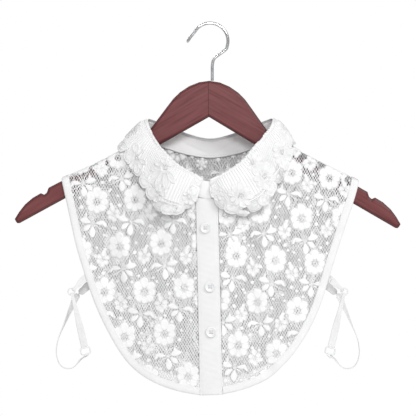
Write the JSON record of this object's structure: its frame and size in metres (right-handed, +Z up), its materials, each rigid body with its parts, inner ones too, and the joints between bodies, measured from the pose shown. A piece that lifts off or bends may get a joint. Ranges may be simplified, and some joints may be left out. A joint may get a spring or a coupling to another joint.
{
  "type": "lace false collar on a wooden hanger",
  "caption": "Detachable shirt collar of white floral lace with a button placket, bound edges and elastic side straps, on a flat wooden hanger with a steel hook.",
  "frame": {"origin": "inside of the hook's crown, where a rail carries the hanger", "axes": "+X to the right seen from the front, +Y from the front of the garment to its back, +Z up"},
  "size_m": [0.4452, 0.0847, 0.4303],
  "materials": {
    "lace": "matte corded net lace",
    "guipure": "matte raised guipure lace",
    "cotton": "matte plain weave",
    "bias_tape": "soft satin tape",
    "elastic": "ribbed elastic",
    "resin": "glossy white resin",
    "wood": "varnished mahogany stain",
    "steel": "bright plated wire"
  },
  "bodies": {
    "root": {"front_left": "lace", "front_right": "lace", "back": "lace", "collar_fall": "guipure", "collar_stand": "cotton", "button_placket": "cotton", "under_placket": "cotton", "binding_front_left": "bias_tape", "binding_front_right": "bias_tape", "binding_back": "bias_tape", "strap_tab_left": "elastic", "strap_tab_right": "elastic", "strap_double_left": "elastic", "strap_double_right": "elastic", "strap_loop_left": "elastic", "strap_loop_right": "elastic", "button_1": "resin", "button_2": "resin", "button_3": "resin", "strap_ring_left": "resin", "strap_ring_right": "resin", "strap_slider_left": "resin", "strap_slider_right": "resin", "hanger_bar": "wood", "hanger_hook": "steel"}
  },
  "joints": []
}
